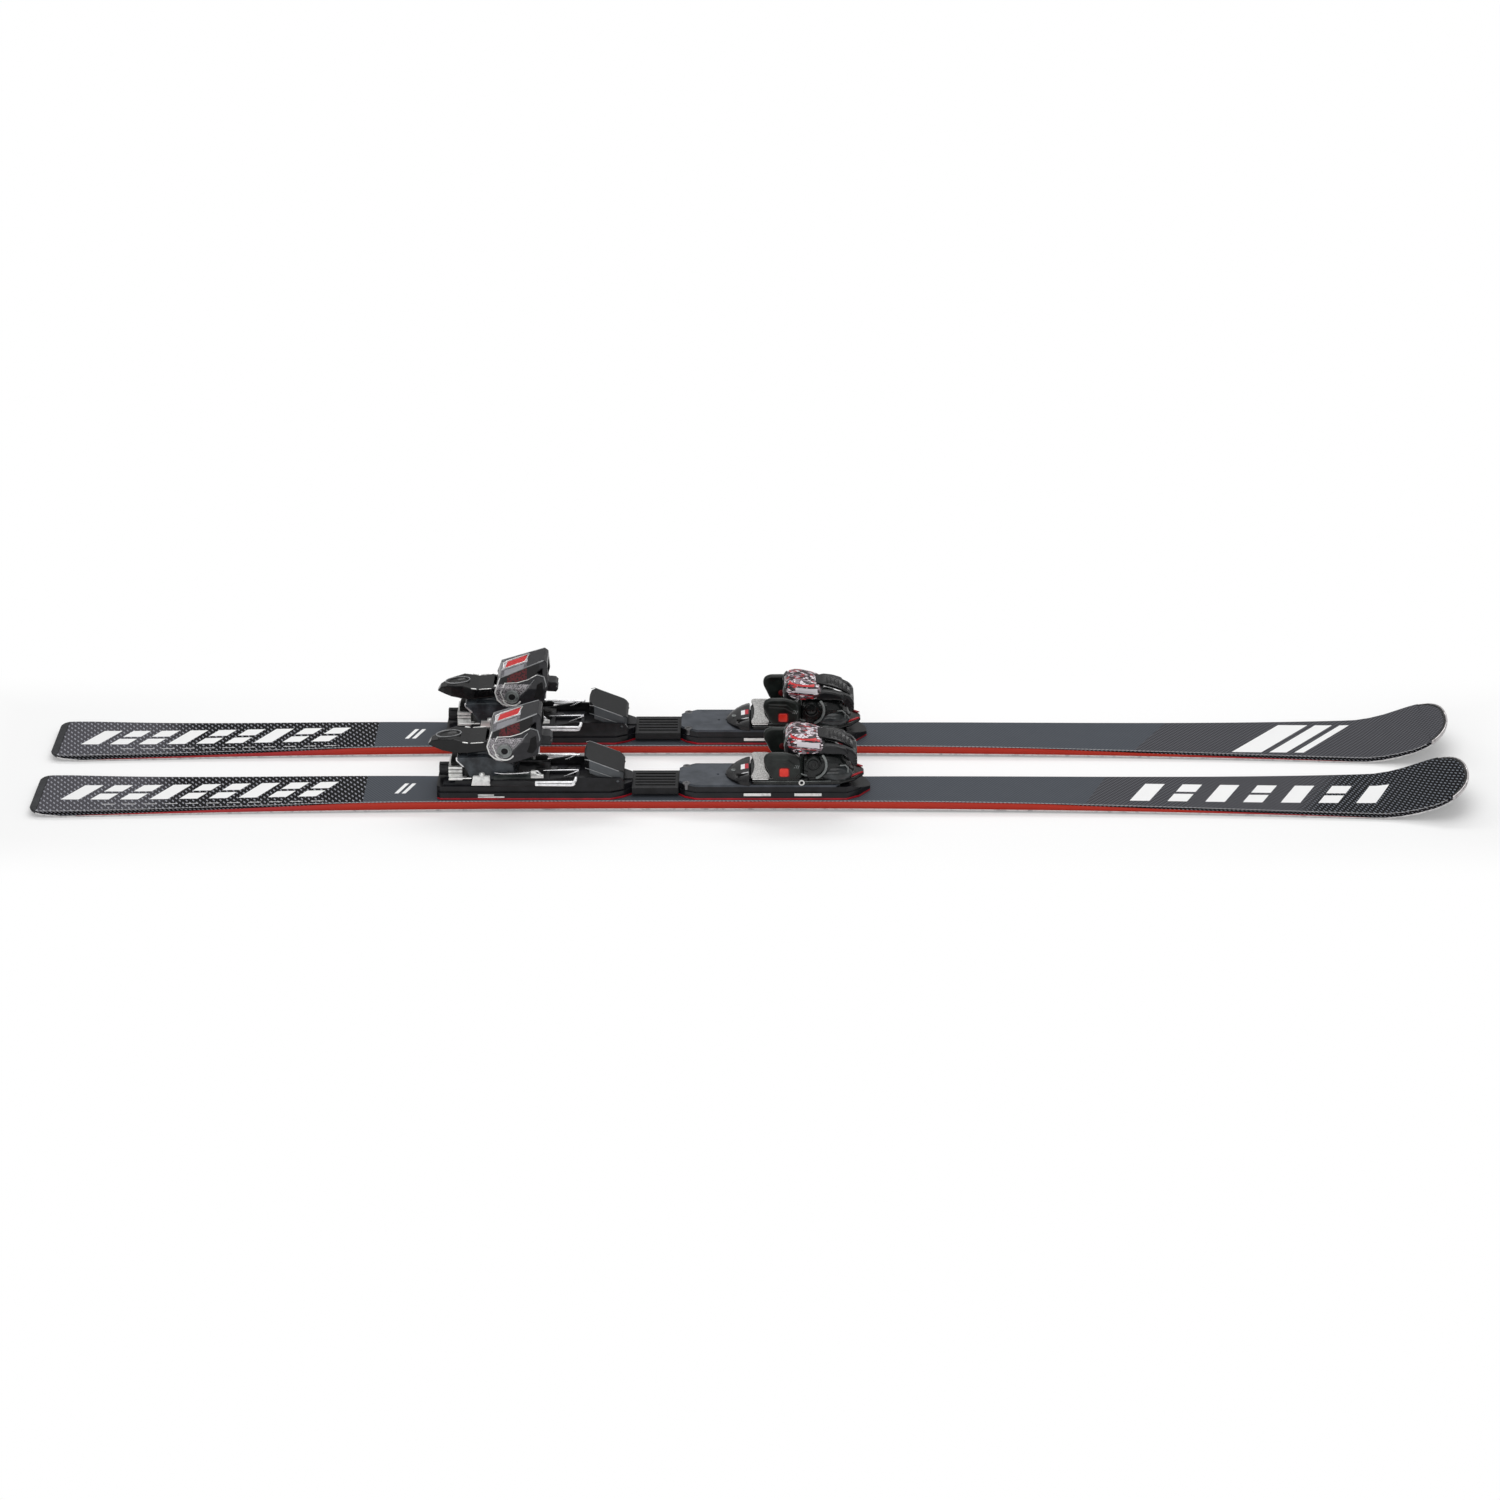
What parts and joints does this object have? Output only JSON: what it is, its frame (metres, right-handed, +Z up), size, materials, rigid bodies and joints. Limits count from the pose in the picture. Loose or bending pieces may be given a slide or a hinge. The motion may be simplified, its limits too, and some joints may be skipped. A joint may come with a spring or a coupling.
{
  "type": "alpine skis with bindings",
  "caption": "Pair of alpine race skis with plates, toe pieces, heel pieces and brakes; the heels stand open.",
  "frame": {"origin": "on the floor, midway between the two skis and midway between their tips and tails", "axes": "+X along the skis towards the tips, +Y from the right ski to the left ski, +Z up"},
  "size_m": [1.7899, 0.281, 0.128],
  "materials": {
    "base": "sintered, matt",
    "edge_steel": "ground",
    "core": "laminated",
    "sidewall": "satin",
    "topsheet": "satin, fine weave",
    "guard": "gloss",
    "plate": "satin",
    "rim": "gloss",
    "bright_metal": "polished",
    "rail": "ribbed",
    "track": "satin",
    "heel_track": "ribbed",
    "screw": "dark zinc",
    "toe_body": "satin",
    "hood": "satin",
    "pin_steel": "ground",
    "lock": "satin",
    "boot_rest": "knurled",
    "wing": "satin",
    "button": "gloss",
    "heel_body": "satin",
    "column": "satin",
    "cup": "silvered edges",
    "lever": "gloss",
    "knob": "ridged",
    "pad": "satin",
    "wire": "polished",
    "foot": "satin"
  },
  "bodies": {
    "root": {"ski_bases": "base", "steel_edges": "edge_steel", "wood_cores": "core", "sidewalls": "sidewall", "topsheets": "topsheet", "end_guards": "guard", "rear_plates": "plate", "front_plates": "plate", "plate_rims": "rim", "plate_bars": "bright_metal", "centre_rails": "rail", "toe_tracks": "track", "heel_tracks": "heel_track", "mounting_screws": "screw"},
    "right_toe": {"right_toe_base": "toe_body", "right_toe_hood": "hood", "right_wing_pins": "pin_steel"},
    "right_lock": {"right_toe_lock": "lock"},
    "right_rest": {"right_boot_rest": "boot_rest"},
    "right_outer_wing_body": {"right_outer_wing": "wing", "right_outer_button": "button"},
    "right_outer_arm": {"right_outer_brake_arm": "wire", "right_outer_brake_foot": "foot"},
    "right_inner_wing_body": {"right_inner_wing": "wing", "right_inner_button": "button"},
    "right_inner_arm": {"right_inner_brake_arm": "wire", "right_inner_brake_foot": "foot"},
    "right_toe_adjuster": {"right_toe_screw": "screw"},
    "right_heel": {"right_heel_carriage": "heel_body", "right_heel_column": "column", "right_heel_axle": "bright_metal", "right_heel_blocks": "bright_metal"},
    "right_cup": {"right_heel_cup": "cup"},
    "right_lever": {"right_stepout_lever": "lever"},
    "right_heel_adjuster": {"right_heel_screw": "screw"},
    "right_knob": {"right_pressure_knob": "knob"},
    "right_pad": {"right_brake_pad": "pad"},
    "left_toe": {"left_toe_base": "toe_body", "left_toe_hood": "hood", "left_wing_pins": "pin_steel"},
    "left_lock": {"left_toe_lock": "lock"},
    "left_rest": {"left_boot_rest": "boot_rest"},
    "left_outer_wing_body": {"left_outer_wing": "wing", "left_outer_button": "button"},
    "left_outer_arm": {"left_outer_brake_arm": "wire", "left_outer_brake_foot": "foot"},
    "left_inner_wing_body": {"left_inner_wing": "wing", "left_inner_button": "button"},
    "left_inner_arm": {"left_inner_brake_arm": "wire", "left_inner_brake_foot": "foot"},
    "left_toe_adjuster": {"left_toe_screw": "screw"},
    "left_heel": {"left_heel_carriage": "heel_body", "left_heel_column": "column", "left_heel_axle": "bright_metal", "left_heel_blocks": "bright_metal"},
    "left_cup": {"left_heel_cup": "cup"},
    "left_lever": {"left_stepout_lever": "lever"},
    "left_heel_adjuster": {"left_heel_screw": "screw"},
    "left_knob": {"left_pressure_knob": "knob"},
    "left_pad": {"left_brake_pad": "pad"}
  },
  "joints": [
    {"name": "right_toe_slide", "type": "slide", "parent": "root", "child": "right_toe", "axis": [1, 0, 0], "range_m": [-0.02, 0.005]},
    {"name": "right_lock_tilt", "type": "hinge", "parent": "right_toe", "child": "right_lock", "pos_m": [-0.002, -0.0795, 0.046], "axis": [0, 1, 0], "range_deg": [0, 25]},
    {"name": "right_rest_slide", "type": "slide", "parent": "right_toe", "child": "right_rest", "axis": [0, 1, 0], "range_m": [-0.006, 0.006], "stiffness_N_per_m": 2000},
    {"name": "right_toe_value", "type": "hinge", "parent": "right_toe", "child": "right_toe_adjuster", "pos_m": [0.11, -0.0795, 0.062], "axis": [1, 0, 0], "range_deg": [-720, 720]},
    {"name": "right_outer_wing_swing", "type": "hinge", "parent": "right_toe", "child": "right_outer_wing_body", "pos_m": [0.06, -0.1065, 0.06], "axis": [0, 0, 1], "range_deg": [0, 30], "stiffness_Nm_per_rad": 6},
    {"name": "right_inner_wing_swing", "type": "hinge", "parent": "right_toe", "child": "right_inner_wing_body", "pos_m": [0.06, -0.0525, 0.06], "axis": [0, 0, -1], "range_deg": [0, 30], "stiffness_Nm_per_rad": 6},
    {"name": "right_heel_slide", "type": "slide", "parent": "root", "child": "right_heel", "axis": [1, 0, 0], "range_m": [-0.012, 0.005]},
    {"name": "right_cup_close", "type": "hinge", "parent": "right_heel", "child": "right_cup", "pos_m": [-0.303, -0.0795, 0.083], "axis": [0, 1, 0], "range_deg": [0, 40]},
    {"name": "right_lever_lift", "type": "hinge", "parent": "right_heel", "child": "right_lever", "pos_m": [-0.303, -0.0795, 0.083], "axis": [0, 1, 0], "range_deg": [0, 44]},
    {"name": "right_heel_value", "type": "hinge", "parent": "right_heel", "child": "right_heel_adjuster", "pos_m": [-0.346, -0.0795, 0.057], "axis": [1, 0, 0], "range_deg": [-720, 720]},
    {"name": "right_knob_turn", "type": "hinge", "parent": "right_heel", "child": "right_knob", "pos_m": [-0.381, -0.0795, 0.043], "axis": [1, 0, 0], "range_deg": [-720, 720]},
    {"name": "right_pad_press", "type": "hinge", "parent": "right_heel", "child": "right_pad", "pos_m": [-0.164, -0.0795, 0.04], "axis": [0, 1, 0], "range_deg": [-22, 0], "stiffness_Nm_per_rad": 3},
    {"name": "right_outer_arm_drop", "type": "hinge", "parent": "right_heel", "child": "right_outer_arm", "pos_m": [-0.216, -0.1195, 0.042], "axis": [0, -0.9397, 0.342], "range_deg": [0, 60]},
    {"name": "right_inner_arm_drop", "type": "hinge", "parent": "right_heel", "child": "right_inner_arm", "pos_m": [-0.216, -0.0395, 0.042], "axis": [0, -0.9397, -0.342], "range_deg": [0, 60]},
    {"name": "left_toe_slide", "type": "slide", "parent": "root", "child": "left_toe", "axis": [1, 0, 0], "range_m": [-0.02, 0.005]},
    {"name": "left_lock_tilt", "type": "hinge", "parent": "left_toe", "child": "left_lock", "pos_m": [-0.002, 0.0795, 0.046], "axis": [0, 1, 0], "range_deg": [0, 25]},
    {"name": "left_rest_slide", "type": "slide", "parent": "left_toe", "child": "left_rest", "axis": [0, 1, 0], "range_m": [-0.006, 0.006], "stiffness_N_per_m": 2000},
    {"name": "left_toe_value", "type": "hinge", "parent": "left_toe", "child": "left_toe_adjuster", "pos_m": [0.11, 0.0795, 0.062], "axis": [1, 0, 0], "range_deg": [-720, 720]},
    {"name": "left_outer_wing_swing", "type": "hinge", "parent": "left_toe", "child": "left_outer_wing_body", "pos_m": [0.06, 0.1065, 0.06], "axis": [0, 0, -1], "range_deg": [0, 30], "stiffness_Nm_per_rad": 6},
    {"name": "left_inner_wing_swing", "type": "hinge", "parent": "left_toe", "child": "left_inner_wing_body", "pos_m": [0.06, 0.0525, 0.06], "axis": [0, 0, 1], "range_deg": [0, 30], "stiffness_Nm_per_rad": 6},
    {"name": "left_heel_slide", "type": "slide", "parent": "root", "child": "left_heel", "axis": [1, 0, 0], "range_m": [-0.012, 0.005]},
    {"name": "left_cup_close", "type": "hinge", "parent": "left_heel", "child": "left_cup", "pos_m": [-0.303, 0.0795, 0.083], "axis": [0, 1, 0], "range_deg": [0, 40]},
    {"name": "left_lever_lift", "type": "hinge", "parent": "left_heel", "child": "left_lever", "pos_m": [-0.303, 0.0795, 0.083], "axis": [0, 1, 0], "range_deg": [0, 44]},
    {"name": "left_heel_value", "type": "hinge", "parent": "left_heel", "child": "left_heel_adjuster", "pos_m": [-0.346, 0.0795, 0.057], "axis": [1, 0, 0], "range_deg": [-720, 720]},
    {"name": "left_knob_turn", "type": "hinge", "parent": "left_heel", "child": "left_knob", "pos_m": [-0.381, 0.0795, 0.043], "axis": [1, 0, 0], "range_deg": [-720, 720]},
    {"name": "left_pad_press", "type": "hinge", "parent": "left_heel", "child": "left_pad", "pos_m": [-0.164, 0.0795, 0.04], "axis": [0, 1, 0], "range_deg": [-22, 0], "stiffness_Nm_per_rad": 3},
    {"name": "left_outer_arm_drop", "type": "hinge", "parent": "left_heel", "child": "left_outer_arm", "pos_m": [-0.216, 0.1195, 0.042], "axis": [0, -0.9397, -0.342], "range_deg": [0, 60]},
    {"name": "left_inner_arm_drop", "type": "hinge", "parent": "left_heel", "child": "left_inner_arm", "pos_m": [-0.216, 0.0395, 0.042], "axis": [0, -0.9397, 0.342], "range_deg": [0, 60]}
  ],
  "couplings": [
    {"joint": "right_lever_lift", "follows": "right_cup_close", "ratio": 1.1},
    {"joint": "left_lever_lift", "follows": "left_cup_close", "ratio": 1.1}
  ]
}
